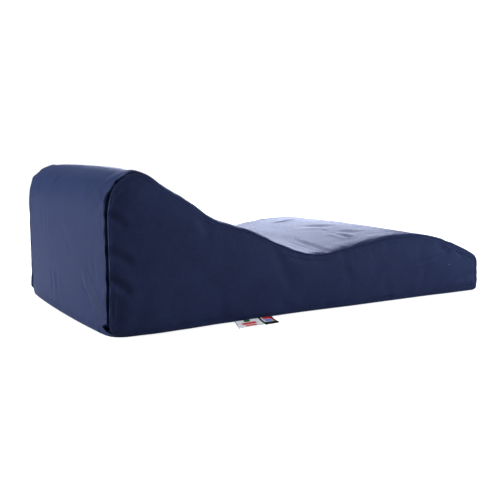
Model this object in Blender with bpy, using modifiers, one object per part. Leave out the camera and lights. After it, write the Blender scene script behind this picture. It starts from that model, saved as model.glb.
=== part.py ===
"""Wave-shaped foam pillow in a tight plain cover, with two woven labels in its near bottom seam.

Metres, +Z up. The origin lies on the base, midway between the two ends and between the two sides.
The tall end faces -X and the low end +X. The labels come out of the seam at -Y.
"""
from collections import namedtuple
import math

import bmesh
import bpy
from mathutils import Matrix, Vector

MM = 0.001

# Driving dimensions of the pillow
LENGTH = 600 * MM
WIDTH = 334 * MM
HALF_WIDTH = WIDTH / 2
FOOT_RADIUS = 9 * MM
BASE_SEAM_HEIGHT = 2.4 * MM

# How far the tight cover bulges between its seams
SIDE_CROWN = 4 * MM
SIDE_CROWN_REACH = 20 * MM
TOP_CROWN = 2.5 * MM
TOP_CROWN_RISE = 40 * MM
TALL_END_CROWN = 5.5 * MM
LOW_END_CROWN = 3.5 * MM
END_CROWN_REACH = 30 * MM
CROWN_POWER = 2.2
SWAY_HEIGHT = 100 * MM

# Steps of the surface grid
ALONG_STEPS = 50
UP_STEPS = 14
CURVE_STEPS = 8
END_CROWDING = 0.6

# The labels
LABEL_THICKNESS = 1 * MM
LABEL_ROOT_HEIGHT = 2 * MM
LABEL_DROP_LENGTH = 11 * MM
LABEL_CUTS = (0.08, 0.16, 0.24, 0.34, 0.46, 0.7)
PIECE_GAP = 0.3 * MM

# The side outline's top, from the tall end's face, over its round corner, to the low end's face.
# Millimetres: along from the tall end, height over the base, seam = how far in the seam lies.
OutlineRow = namedtuple("OutlineRow", "along height seam")
OUTLINE_ROWS = (
    OutlineRow(0, 141, 2),
    OutlineRow(1, 161, 3),
    OutlineRow(7, 178, 4),
    OutlineRow(20, 189.5, 4),
    OutlineRow(35, 196.5, 5.5),
    OutlineRow(50, 192.5, 5),
    OutlineRow(70, 178, 3.5),
    OutlineRow(109, 153, 3),
    OutlineRow(142, 135, 3),
    OutlineRow(194, 116, 3),
    OutlineRow(230, 99.5, 2.5),
    OutlineRow(262, 86.5, 2.5),
    OutlineRow(307, 79, 2.5),
    OutlineRow(348, 85, 2.5),
    OutlineRow(391, 91.5, 3),
    OutlineRow(440, 95, 3.5),
    OutlineRow(490, 92, 3.5),
    OutlineRow(531, 82.5, 3.5),
    OutlineRow(565, 69.5, 3.5),
    OutlineRow(586, 59, 3),
    OutlineRow(597, 51.5, 3),
    OutlineRow(600, 42, 2),
)
TALL_CORNER_ROW = 2
LOW_CORNER_ROW = 20

# Rings of points from the side panel's lip, through the seam's channel and over the rolled edge,
# to the pillow's middle plane. A ring lies inside the outline by a share of the seam's inset and
# some more, and inside the side's plane by its drop. Millimetres.
RingRow = namedtuple("RingRow", "share more drop")
LIP_ROW = RingRow(1, 1.6, 0.3)
RING_ROWS = (
    RingRow(1, 0, 2),
    RingRow(0.75, 0, 0.4),
    RingRow(0.38, 0, 0.5),
    RingRow(0.12, 0, 1.6),
    RingRow(0, 0, 3.4),
    RingRow(0, 0, 9),
    RingRow(0, 0, 23),
    RingRow(0, 0, 45),
    RingRow(0, 0, 75),
    RingRow(0, 0, 107),
    RingRow(0, 0, 137),
    RingRow(0, 0, 167),
)

# The foot of each side wanders in and out along the length. Millimetres.
SwayRow = namedtuple("SwayRow", "along out")
SWAY_ROWS = (
    SwayRow(0, 0),
    SwayRow(50, 2),
    SwayRow(150, -1),
    SwayRow(270, -3),
    SwayRow(370, 0),
    SwayRow(500, 0),
    SwayRow(600, 2),
)

LabelRow = namedtuple("LabelRow", "name start end reach lean colour")
LABEL_ROWS = (
    LabelRow("label_pale", 167 * MM, 202 * MM, 28 * MM, -8 * MM, (0.72, 0.76, 0.78, 1)),
    LabelRow("label_edged", 203 * MM, 223.5 * MM, 30 * MM, -8 * MM, (0.03, 0.035, 0.04, 1)),
)

COVER_COLOUR = (0.016, 0.023, 0.075, 1)
COVER_ROUGHNESS = 0.8
LABEL_ROUGHNESS = 0.6


def clear_scene():
    for thing in list(bpy.data.objects):
        bpy.data.objects.remove(thing, do_unlink=True)


def ease(amount):
    """0 to 1 with a level start and end."""
    amount = min(max(amount, 0.0), 1.0)
    return amount * amount * (3 - 2 * amount)


def curve_through(rows, first_heading, last_heading):
    """Lists of points, one for each stretch between rows, on a smooth curve through the rows."""
    spots = [Vector(row) for row in rows]
    gaps = [(end - start).length for start, end in zip(spots, spots[1:])]
    speeds = [(end - start) / gap for start, end, gap in zip(spots, spots[1:], gaps)]
    headings = [Vector(first_heading)]
    for before, after, gap_before, gap_after in zip(speeds, speeds[1:], gaps, gaps[1:]):
        headings.append((before * gap_after + after * gap_before) / (gap_before + gap_after))
    headings.append(Vector(last_heading))
    stretches = []
    for index, gap in enumerate(gaps):
        start, end = spots[index], spots[index + 1]
        pull_out, pull_in = headings[index] * gap, headings[index + 1] * gap
        stretch = []
        for step in range(CURVE_STEPS + 1):
            t = step / CURVE_STEPS
            stretch.append(
                start * (2 * t**3 - 3 * t**2 + 1)
                + pull_out * (t**3 - 2 * t**2 + t)
                + end * (3 * t**2 - 2 * t**3)
                + pull_in * (t**3 - t**2)
            )
        stretches.append(stretch)
    return stretches


def foot_arc(centre_along, first_angle, last_angle, seam):
    """Part of a foot's round corner, in degrees from +X towards +Z."""
    points = []
    for step in range(CURVE_STEPS + 1):
        angle = math.radians(first_angle + (last_angle - first_angle) * step / CURVE_STEPS)
        along = centre_along + FOOT_RADIUS * math.cos(angle)
        points.append(Vector((along, FOOT_RADIUS * (1 + math.sin(angle)), seam)))
    return points


def spread(path, count):
    """Count points along a path, from its start and without its end, crowded at both."""
    reached = [0.0]
    for start, end in zip(path, path[1:]):
        reached.append(reached[-1] + (end - start).length)
    points = []
    at = 0
    for step in range(count):
        share = step / count
        share -= END_CROWDING * math.sin(2 * math.pi * share) / (2 * math.pi)
        goal = share * reached[-1]
        while reached[at + 1] < goal:
            at += 1
        part = (goal - reached[at]) / (reached[at + 1] - reached[at])
        points.append(path[at].lerp(path[at + 1], part))
    return points


def side_outline():
    """The closed outline of a side, anticlockwise seen from -Y: along, height and seam inset."""
    rows = [Vector(row) * MM for row in OUTLINE_ROWS]
    stretches = curve_through(rows, (0, 1, 0), (0, -1, 0))
    tall_corner = [point for stretch in stretches[:TALL_CORNER_ROW] for point in stretch]
    top = [point for stretch in stretches[TALL_CORNER_ROW:LOW_CORNER_ROW] for point in stretch]
    low_corner = [point for stretch in stretches[LOW_CORNER_ROW:] for point in stretch]
    end_seam = rows[0].z
    low_foot = LENGTH - FOOT_RADIUS
    base = foot_arc(FOOT_RADIUS, 225, 270, BASE_SEAM_HEIGHT)
    base += foot_arc(low_foot, 270, 315, BASE_SEAM_HEIGHT)
    low_end = foot_arc(low_foot, 315, 360, BASE_SEAM_HEIGHT) + low_corner[::-1]
    tall_end = tall_corner[::-1] + foot_arc(FOOT_RADIUS, 180, 225, end_seam)
    return (
        spread(base, ALONG_STEPS)
        + spread(low_end, UP_STEPS)
        + spread(top[::-1], ALONG_STEPS)
        + spread(tall_end, UP_STEPS)
    )


def inward_directions(outline):
    """For each point of the outline, the direction towards the inside of the side panel."""
    directions = []
    for index in range(len(outline)):
        before, after = outline[index - 1], outline[(index + 1) % len(outline)]
        directions.append(Vector((before.y - after.y, after.x - before.x)).normalized())
    return directions


def sway(along):
    """How far the foot of a side stands out at a place along the pillow."""
    for start, end in zip(SWAY_ROWS, SWAY_ROWS[1:]):
        if along <= end.along * MM or end is SWAY_ROWS[-1]:
            part = (along / MM - start.along) / (end.along - start.along)
            return (start.out + (end.out - start.out) * ease(part)) * MM


def settle(along, height, out):
    """Where a point of the straight block lies once the filled cover has bulged.

    Out is counted from the side's plane, away from the middle.
    """
    across = HALF_WIDTH + out
    open_share = 1 - min(across / HALF_WIDTH, 1) ** CROWN_POWER
    tall_share = math.exp(-max(along, 0) / END_CROWN_REACH)
    low_share = math.exp(-max(LENGTH - along, 0) / END_CROWN_REACH)
    x = along - LENGTH / 2
    x += open_share * (LOW_END_CROWN * low_share - TALL_END_CROWN * tall_share)
    y = across * (1 + sway(along) * (1 - ease(height / SWAY_HEIGHT)) / HALF_WIDTH)
    z = height + TOP_CROWN * open_share * ease(height / TOP_CROWN_RISE)
    return Vector((x, -y, z))


def ring(outline, inward, row):
    """The points of one ring: along, height and how far out of the side's plane."""
    points = []
    for spot, direction in zip(outline, inward):
        inset = spot.z * row.share + row.more * MM
        points.append((spot.x + direction.x * inset, spot.y + direction.y * inset, -row.drop * MM))
    return points


def patch_point(sides, column, row):
    """A point inside four sides, blended from the sides."""
    base, low_end, top, tall_end = sides
    a, c = column / ALONG_STEPS, row / UP_STEPS
    between = base[column] * (1 - c) + top[column] * c
    between += tall_end[row] * (1 - a) + low_end[row] * a
    corners = (base[0] * (1 - a) + base[-1] * a) * (1 - c) + (top[0] * (1 - a) + top[-1] * a) * c
    return between - corners


def panel_sides(points):
    """The lip's ring, cut into the four sides of the side panel's grid."""
    flat = [Vector(point[:2]) for point in points]
    flat.append(flat[0])
    corner_a = ALONG_STEPS
    corner_b = corner_a + UP_STEPS
    corner_c = corner_b + ALONG_STEPS
    base = flat[: corner_a + 1]
    low_end = flat[corner_a : corner_b + 1]
    top = flat[corner_b : corner_c + 1][::-1]
    tall_end = flat[corner_c:][::-1]
    return base, low_end, top, tall_end


def rim_index(column, row):
    """The outline's point at which a border vertex of the side panel's grid lies, or None."""
    if row == 0:
        return column
    if column == ALONG_STEPS:
        return ALONG_STEPS + row
    if row == UP_STEPS:
        return 2 * ALONG_STEPS + UP_STEPS - column
    if column == 0:
        return 2 * (ALONG_STEPS + UP_STEPS) - row
    return None


def panel_out(point, lip):
    """How far the side panel bulges at a place, from its distance to the lip."""
    distance = min((point - Vector(spot[:2])).length for spot in lip)
    return SIDE_CROWN * (1 - math.exp(-distance / SIDE_CROWN_REACH)) - LIP_ROW.drop * MM


def near_half():
    """The near half of the pillow, open at the middle plane."""
    outline = side_outline()
    inward = inward_directions(outline)
    lip = ring(outline, inward, LIP_ROW)

    mesh = bmesh.new()
    bmesh.ops.create_grid(mesh, x_segments=ALONG_STEPS, y_segments=UP_STEPS, size=0.5)
    rim = mesh.verts.layers.int.new("rim")
    sides = panel_sides(lip)
    for vertex in mesh.verts:
        column = round((vertex.co.x + 0.5) * ALONG_STEPS)
        row = round((vertex.co.y + 0.5) * UP_STEPS)
        index = rim_index(column, row)
        point = patch_point(sides, column, row)
        vertex[rim] = -1 if index is None else index
        vertex.co = settle(point.x, point.y, panel_out(point, lip))

    edges = [edge for edge in mesh.edges if edge.is_boundary]
    for row in RING_ROWS:
        points = ring(outline, inward, row)
        grown = bmesh.ops.extrude_edge_only(mesh, edges=edges)["geom"]
        for vertex in grown:
            if isinstance(vertex, bmesh.types.BMVert):
                vertex.co = settle(*points[vertex[rim]])
        edges = [edge for edge in grown if isinstance(edge, bmesh.types.BMEdge)]
        edges = [edge for edge in edges if edge.is_boundary]
    mesh.verts.layers.int.remove(mesh.verts.layers.int["rim"])
    bmesh.ops.recalc_face_normals(mesh, faces=mesh.faces)
    return mesh


def fabric(name, colour, roughness):
    material = bpy.data.materials.new(name)
    material.use_nodes = True
    shader = material.node_tree.nodes["Principled BSDF"]
    shader.inputs["Base Color"].default_value = colour
    shader.inputs["Roughness"].default_value = roughness
    shader.inputs["Metallic"].default_value = 0.0
    return material


def add_object(name, mesh, material, collection):
    """A named object from a finished bmesh."""
    data = bpy.data.meshes.new(name)
    mesh.to_mesh(data)
    mesh.free()
    data.materials.append(material)
    data.shade_smooth()
    thing = bpy.data.objects.new(name, data)
    collection.objects.link(thing)
    return thing


def add_pillow(collection):
    pillow = add_object(
        "pillow_body",
        near_half(),
        fabric("navy_cover", COVER_COLOUR, COVER_ROUGHNESS),
        collection,
    )
    mirror = pillow.modifiers.new("far_half", "MIRROR")
    mirror.use_axis = (False, True, False)
    mirror.merge_threshold = 0.0001


def add_label(row, collection):
    """A folded label: its root against the bottom seam, the rest of it lying on the floor."""
    mesh = bmesh.new()
    bmesh.ops.create_cube(mesh, size=1, matrix=Matrix.Translation((0.5, 0.5, 0.5)))
    for cut in LABEL_CUTS:
        geometry = mesh.verts[:] + mesh.edges[:] + mesh.faces[:]
        bmesh.ops.bisect_plane(mesh, geom=geometry, plane_co=(0, cut, 0), plane_no=(0, 1, 0))
    for vertex in mesh.verts:
        across, down, up = vertex.co
        root_along = row.start + (row.end - row.start) * across
        root = settle(root_along, LABEL_ROOT_HEIGHT, 0)
        from_root = down * row.reach
        under = LABEL_ROOT_HEIGHT * (1 - ease(from_root / LABEL_DROP_LENGTH))
        vertex.co = Vector((
            root.x + row.lean * down,
            root.y - PIECE_GAP - from_root,
            under + LABEL_THICKNESS * up,
        ))
    bmesh.ops.recalc_face_normals(mesh, faces=mesh.faces)
    add_object(row.name, mesh, fabric(row.name, row.colour, LABEL_ROUGHNESS), collection)


def main():
    clear_scene()
    collection = bpy.data.collections.new("neck_pillow")
    bpy.context.scene.collection.children.link(collection)
    add_pillow(collection)
    for row in LABEL_ROWS:
        add_label(row, collection)


main()
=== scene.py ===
"""Looks of a wave-shaped foam neck pillow in a tight navy cover, with two small woven labels.

Metres, +Z up, in the frame of the CAD: the tall end faces -X and the labels come out at -Y.
"""
from collections import namedtuple
import math

import bmesh
import bpy
import numpy as np
from mathutils import Matrix, Vector, noise


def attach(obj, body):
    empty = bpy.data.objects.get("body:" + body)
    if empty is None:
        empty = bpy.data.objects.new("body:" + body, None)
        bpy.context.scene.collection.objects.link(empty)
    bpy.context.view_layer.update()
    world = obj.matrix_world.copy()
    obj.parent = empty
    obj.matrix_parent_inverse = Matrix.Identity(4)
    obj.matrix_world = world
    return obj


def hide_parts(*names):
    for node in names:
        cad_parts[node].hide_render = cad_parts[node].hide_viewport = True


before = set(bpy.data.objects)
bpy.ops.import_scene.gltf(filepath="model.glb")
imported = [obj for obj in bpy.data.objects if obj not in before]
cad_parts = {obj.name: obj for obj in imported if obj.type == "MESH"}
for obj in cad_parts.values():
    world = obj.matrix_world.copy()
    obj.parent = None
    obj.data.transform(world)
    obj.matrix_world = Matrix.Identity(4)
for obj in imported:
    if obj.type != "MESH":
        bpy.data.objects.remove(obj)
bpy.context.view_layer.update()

MM = 0.001

# The pillow's shape, as in the CAD
LENGTH = 600 * MM
HALF_WIDTH = 167 * MM
TALL_FOOT_RADIUS = 4.5 * MM
LOW_FOOT_RADIUS = 6 * MM
BASE_SEAM_HEIGHT = 3 * MM
SIDE_CROWN = 4 * MM
SIDE_CROWN_REACH = 20 * MM
TOP_CROWN = 2.5 * MM
TOP_CROWN_RISE = 40 * MM
CREST_CROWN = 1.1 * MM
CREST_REACH = 70 * MM
TALL_END_CROWN = 6.8 * MM
LOW_END_CROWN = 3.5 * MM
END_CROWN_REACH = 30 * MM
CROWN_POWER = 2.2
SWAY_HEIGHT = 100 * MM

# Millimetres: along from the tall end, height over the base, how far in the seam lies.
OUTLINE_ROWS = (
    (0, 141, -0.4),
    (1, 161, 1.1),
    (7, 178, 1.2),
    (20, 189.5, 0.6),
    (35, 196.5, 2.6),
    (50, 192.5, 3),
    (70, 179, 4.8),
    (109, 156, 6),
    (142, 134.8, 5.4),
    (194, 116.5, 3.8),
    (230, 100.2, 3),
    (262, 86.5, 2.4),
    (307, 79, 2),
    (348, 85, 3),
    (391, 91.5, 3.4),
    (440, 95.5, 3),
    (490, 92.5, 2.6),
    (531, 83, 2.4),
    (565, 70.5, 2.2),
    (586, 61, 2),
    (597, 54.8, 1.8),
    (600, 46, 1.2),
)
TALL_CORNER_ROW = 2
LOW_CORNER_ROW = 20

# Millimetres: along, and how far the foot of the side stands out there.
SWAY_ROWS = (
    (0, 0), (30, 3), (60, 5), (95, 3.5), (150, 0), (270, -3), (370, 0), (480, 1), (560, 4), (600, 5),
)

# Steps of the surface grid
ALONG_STEPS = 92
UP_STEPS = 34
CURVE_STEPS = 16
END_CROWDING = 0.3

# Rings from the side panel over its lip, through the seam's channel, over the rolled edge and on
# to the pillow's middle plane. A ring lies inside the outline by a share of the seam's inset and
# some more, and inside the side's plane by its drop. Millimetres: first share, more and drop
# where the seam is open, as at the tall end, then the same three where it is closed, and how much
# deeper the closed seam's groove lies.
EDGE_ROWS = (
    (1, 6.5, -0.57, 1, 6.5, -0.57, 0),
    (1, 4.8, -0.5, 1, 4.6, -0.5, 0),
    (1, 3.8, -0.7, 1, 3.6, -0.42, 0),
    (1, 2.9, -0.95, 1, 2.9, -0.32, 0),
    (1, 2.0, -0.8, 1, 2.3, -0.2, 0),
    (1, 1.2, -0.1, 1, 1.9, -0.1, 0.3),
    (1, 0.95, 0.9, 1, 1.5, 0, 0.85),
    (1, 2.4, 1.8, 1, 1.0, 0.1, 1.3),
    (1, 7.5, 5.0, 1, 0.4, 0.2, 1.35),
    (1, 6.0, 10.0, 0.97, 0, 0.25, 0.9),
    (0.9, 3.4, 9.6, 0.87, 0, 0.3, 0.35),
    (0.7, 1.8, 9.2, 0.75, 0, 0.45, 0.1),
    (0.5, 0.9, 9.4, 0.58, 0, 0.9, 0),
    (0.3, 0.45, 10.2, 0.38, 0, 1.75, 0),
    (0.14, 0.16, 11.6, 0.18, 0, 3.1, 0),
    (0.03, 0.03, 13.4, 0.05, 0, 5.0, 0),
    (0, 0, 15.8, 0, 0, 8.0, 0),
)
CHANNEL_RING = 8
LIP_INSET = 1.6 * MM
WIDE_FIRST = 18
WIDE_STEPS = 26
WIDE_RINGS = tuple(
    (0, 0, drop, 0, 0, drop, 0) for drop in np.linspace(WIDE_FIRST, HALF_WIDTH / MM, WIDE_STEPS)
)
HALF_ROWS = EDGE_ROWS + WIDE_RINGS

# How open the seam is: along the top edge in millimetres, and at the base
TOP_OPEN_ROWS = (
    (0, 1), (3, 1.1), (5.5, 0.5), (7.5, 0.1), (9.5, 0.3), (13.5, 1.2), (17, 0.6), (20, 0.05),
    (23.5, 0.5), (29, 0.95), (42, 0.8), (50, 0.25), (60, 0.03), (598, 0.03), (600, 0),
)
BASE_OPEN = 0.03
# How deep the closed seam's groove is: along the top edge, and at the base
TOP_GROOVE_ROWS = (
    (0, 0.2), (50, 0.2), (62, 0.05), (120, 0.05), (150, 0.4), (185, 0.9), (280, 0.9), (320, 0.6),
    (345, 1), (425, 1), (470, 0.5), (560, 0.6), (590, 0.3), (600, 0),
)
BASE_GROOVE = 0.3
# The side's top edge leans back along the upper slope: depth, reach and along rows
LEAN_DEPTH = 2.4 * MM
LEAN_REACH = 9 * MM
LEAN_ROWS = ((45, 0), (75, 1), (125, 0.8), (165, 0))
# The seam at the tall end's foot: height and how far in it lies, in millimetres
TALL_FOOT_SEAM = (
    (0, 4), (2, 4), (4.5, 3.6), (6.2, 2.2), (7.6, 0), (9.8, -1.6), (12.3, -2.5), (14.5, -2.8),
    (20, -2.2), (36, -0.8), (60, -0.4),
)
# The tall end's bottom corners, near and far, are rounded in plan at the floor
CORNER_RADII = (32 * MM, 17 * MM)
CORNER_HEIGHT = 12 * MM

# The cover's own movement over the foam
CLOTH_FRAMES = 20
CLOTH_CAP = 1.2 * MM
CLOTH_START_INSET = 0.9 * MM
CLOTH_SPARE = -0.008
HELD_RINGS = 6
FOAM_HOLD = 0.12

# Folds of the cover. Points are millimetres on one face: along and height on "near" and "far",
# across and height on "tall" and "low", along and across on "top". A positive depth is a trough.
# A rooted fold starts at full depth, any other one grows from both of its ends.
Fold = namedtuple("Fold", "face width depth rooted points")
FOLDS = (
    # Tall end
    Fold("tall", 3.0, 0.23, False, ((72, 158), (75, 120), (77, 84))),
    Fold("tall", 3.0, 0.2, False, ((53.5, 152), (54, 118), (54.7, 86))),
    Fold("tall", 5.0, 0.54, True, ((-22, 194), (6, 186), (38, 172))),
    Fold("tall", 6.0, 0.32, False, ((-6, 124), (-34, 108), (-60, 84))),
    Fold("tall", 5.0, 0.59, False, ((40, 60), (34, 40), (29, 22))),
    Fold("tall", 5.0, 0.54, False, ((14, 62), (12.5, 40), (10, 20))),
    Fold("tall", 4.5, -0.36, False, ((26, 62), (23, 42), (19, 24))),
    Fold("tall", 5.5, -2.0, False, ((-84, 78), (-104, 58), (-123, 40), (-133, 26), (-137, 16), (-148, 8))),
    Fold("tall", 1.7, 0.8, False, ((-144, 22), (-151, 20), (-158, 19), (-163, 19))),
    Fold("tall", 6.0, 0.45, False, ((-104, 92), (-116, 68), (-131, 50), (-146, 26))),
    Fold("tall", 6.0, -0.59, False, ((-136, 98), (-139, 71), (-146, 52), (-162, 34))),
    Fold("tall", 5.0, 0.45, False, ((-127, 95), (-127, 74), (-125, 52))),
    Fold("tall", 9.0, 1.8, True, ((-166, 13), (-152, 18), (-141, 32), (-130, 56))),
    Fold("tall", 5.5, 0.36, True, ((-158, 150), (-140, 128), (-130, 100))),
    Fold("tall", 6.0, 0.32, True, ((160, 120), (142, 96), (132, 70))),
    Fold("tall", 5.0, 0.41, True, ((164, 34), (146, 30), (124, 40))),
    # Near side
    Fold("near", 3.8, 2.3, True, ((4, 146), (11, 140), (26, 131))),
    Fold("near", 4.4, 3.0, True, ((3, 104), (19, 94), (34, 85))),
    Fold("near", 4.6, 3.4, True, ((2, 72), (17, 60.5), (29, 52))),
    Fold("near", 7.0, 1.0, True, ((7, 4), (8, 30), (10, 62))),
    Fold("near", 2.6, 0.7, True, ((338, 80), (341, 66), (349, 44))),
    Fold("near", 2.6, 0.6, True, ((357, 84), (358, 72), (362, 58))),
    Fold("near", 2.6, 0.6, True, ((387, 88), (389, 74), (394, 60))),
    Fold("near", 6.0, 0.8, False, ((339, 61), (345, 48), (354, 30))),
    Fold("near", 6.0, 0.7, True, ((424, 3), (417, 20), (411, 40))),
    Fold("near", 2.2, 0.8, False, ((455, 51), (490, 55), (516, 60), (540, 64))),
    Fold("near", 3.5, 1.0, False, ((528, 62), (536, 66), (545, 68))),
    Fold("near", 4.0, 0.9, True, ((600, 32), (575, 25), (543, 16))),
    Fold("near", 3.5, -0.7, True, ((600, 17), (578, 14), (554, 11))),
    Fold("near", 6.0, 0.6, True, ((120, 146), (124, 128), (136, 110))),
    Fold("near", 7.0, 0.5, False, ((210, 92), (240, 70), (262, 40))),
    # Far side
    Fold("far", 4.0, 1.0, True, ((3, 118), (16, 110), (32, 104))),
    Fold("far", 4.2, 1.3, True, ((2, 62), (18, 56), (34, 44))),
    Fold("far", 3.6, 0.8, True, ((3, 32), (18, 28), (40, 30))),
    Fold("far", 3.0, 0.8, True, ((300, 77), (304, 62), (312, 46))),
    Fold("far", 3.0, 0.7, True, ((324, 78), (326, 64), (330, 52))),
    Fold("far", 3.0, 0.6, True, ((352, 83), (350, 70), (345, 58))),
    Fold("far", 6.0, 0.8, False, ((400, 20), (412, 38), (440, 52))),
    Fold("far", 4.0, 0.9, True, ((600, 24), (572, 28), (540, 22))),
    Fold("far", 6.0, 0.6, True, ((180, 3), (186, 24), (196, 44))),
    # Low end
    Fold("low", 5.0, 0.9, False, ((-96, 8), (-84, 22), (-80, 40))),
    Fold("low", 5.0, 0.8, False, ((30, 10), (36, 24), (34, 40))),
    Fold("low", 4.0, 1.4, True, ((167, 14), (148, 16), (132, 24))),
    Fold("low", 4.0, 1.2, True, ((-167, 20), (-150, 18), (-136, 12))),
    # Slope, valley and hump
    Fold("top", 2.6, 1.1, True, ((396, 162), (402, 156), (416, 150))),
    Fold("top", 3.4, 1.3, False, ((384, 98), (404, 91), (426, 94), (450, 102))),
    Fold("top", 3.0, 1.0, False, ((393, -38), (393, -50), (391, -62))),
    Fold("top", 4.0, 1.6, True, ((384, -122), (387, -96), (391, -68))),
    Fold("top", 9.0, 1.6, False, ((400, 20), (410, -8), (424, -40))),
    Fold("top", 9.0, 1.6, False, ((400, -66), (408, -90), (414, -116))),
    Fold("top", 4.4, -1.6, True, ((301, -158), (309, -100), (322, -26))),
    Fold("top", 4.0, 1.2, True, ((305, -156), (313, -98), (325, -30))),
    Fold("top", 4.0, -1.5, True, ((308, -156), (318, -95), (330, -30))),
    Fold("top", 4.0, 1.2, True, ((317, -156), (325, -100), (335, -50))),
    Fold("top", 3.6, -0.8, True, ((311, -166), (317, -132), (329, -90))),
    Fold("top", 3.2, -0.7, True, ((348, -166), (348, -150), (350, -132))),
    Fold("top", 4.6, 1.0, True, ((292, 158), (300, 110), (318, 60))),
    Fold("top", 4.6, -0.8, True, ((300, 158), (309, 112), (328, 66))),
    Fold("top", 6.0, 0.9, False, ((250, 40), (262, 0), (266, -50))),
    Fold("top", 6.0, 0.8, False, ((120, -90), (140, -60), (176, -50))),
    Fold("top", 6.0, 0.7, False, ((150, 100), (180, 84), (214, 88))),
    Fold("top", 5.0, 0.8, True, ((540, -162), (524, -140), (516, -110))),
    Fold("top", 5.0, 0.8, True, ((556, 160), (540, 138), (534, 104))),
    Fold("top", 5.0, 0.7, False, ((470, 60), (494, 48), (522, 52))),
)
FOLD_STEPS = 10
FOLD_RIM = 0.4

# The deep pucker at the tall end's near bottom corner: across and height, in millimetres
PUCKER_POINTS = ((-173, 9.6), (-165, 10.4), (-158, 11.1), (-152, 11.5), (-147, 11.7))
PUCKER_WIDTHS = (5.8 * MM, 1.3 * MM)
PUCKER_TAPER = 2.2
PUCKER_DEPTH = 13 * MM
PUCKER_HEADING = (0.74, 0.62, -0.22)
BASE_MARGIN = 22 * MM

# Seam stitches
STITCH_PITCH = 3.2 * MM
STITCH_LENGTH = 2.5 * MM
STITCH_RADIUS = 0.36 * MM
STITCH_SIDES = 6

# Labels, as in the CAD, and the ribbon that they are folded from
LABEL_ROOT_HEIGHT = 1 * MM
LABEL_DROP_LENGTH = 11 * MM
LABEL_LAYER_GAP = 0.25 * MM
PIECE_GAP = 0.3 * MM
RIBBON_THICKNESS = 0.32 * MM
LABEL_ACROSS_STEPS = 36
LABEL_DOWN_STEPS = 34
Label = namedtuple("Label", "name start end reach lean bow tip lift")
LABELS = (
    Label("label_pale", 167 * MM, 202 * MM, 28.5 * MM, -8 * MM, -5.5 * MM, 5 * MM, (0.5 * MM, 0.1 * MM)),
    Label("label_edged", 203 * MM, 223.5 * MM, 31 * MM, -8 * MM, 0, 0.5 * MM, (0.1 * MM, 0.5 * MM)),
)

FLOOR_RADIUS = 1.9
FLOOR_SIDES = 96
FLOOR_GLOW = 0.2
FLOOR_SEEN_GLOW = 0.8

# The camera, at the photo's angle
CAMERA_PLACE = (-0.6087, -0.998, 0.2245)
CAMERA_AZIMUTH = math.radians(-30.96)
CAMERA_ELEVATION = math.radians(7.77)
CAMERA_ROLL = math.radians(-0.15)
CAMERA_LENS = 55.2


def ease(amount):
    """0 to 1 with a level start and end."""
    amount = np.clip(amount, 0, 1)
    return amount * amount * (3 - 2 * amount)


# The pillow's surface


def curve_through(rows, first_heading, last_heading):
    """Arrays of points, one for each stretch between rows, on a smooth curve through the rows."""
    spots = np.array(rows, float)
    gaps = np.linalg.norm(np.diff(spots, axis=0), axis=1)
    speeds = np.diff(spots, axis=0) / gaps[:, None]
    headings = np.empty_like(spots)
    headings[0], headings[-1] = first_heading, last_heading
    both = (gaps[:-1] + gaps[1:])[:, None]
    headings[1:-1] = (speeds[:-1] * gaps[1:, None] + speeds[1:] * gaps[:-1, None]) / both
    t = (np.arange(CURVE_STEPS + 1) / CURVE_STEPS)[:, None]
    stretches = []
    for index, gap in enumerate(gaps):
        stretches.append(
            spots[index] * (2 * t**3 - 3 * t**2 + 1)
            + headings[index] * gap * (t**3 - 2 * t**2 + t)
            + spots[index + 1] * (3 * t**2 - 2 * t**3)
            + headings[index + 1] * gap * (t**3 - t**2)
        )
    return stretches


def foot_arc(centre_along, radius, first_angle, last_angle, seam):
    """Part of a foot's round corner, in degrees from +X towards +Z."""
    angles = np.radians(np.linspace(first_angle, last_angle, CURVE_STEPS + 1))
    along = centre_along + radius * np.cos(angles)
    height = radius * (1 + np.sin(angles))
    return np.stack([along, height, np.full(len(angles), seam)], 1)


def spread(path, count):
    """Count points along a path, from its start and without its end, crowded at both."""
    reached = np.append(0, np.cumsum(np.linalg.norm(np.diff(path, axis=0), axis=1)))
    share = np.arange(count) / count
    share = share - END_CROWDING * np.sin(2 * np.pi * share) / (2 * np.pi)
    goals = share * reached[-1]
    return np.stack([np.interp(goals, reached, path[:, axis]) for axis in range(3)], 1)


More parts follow.
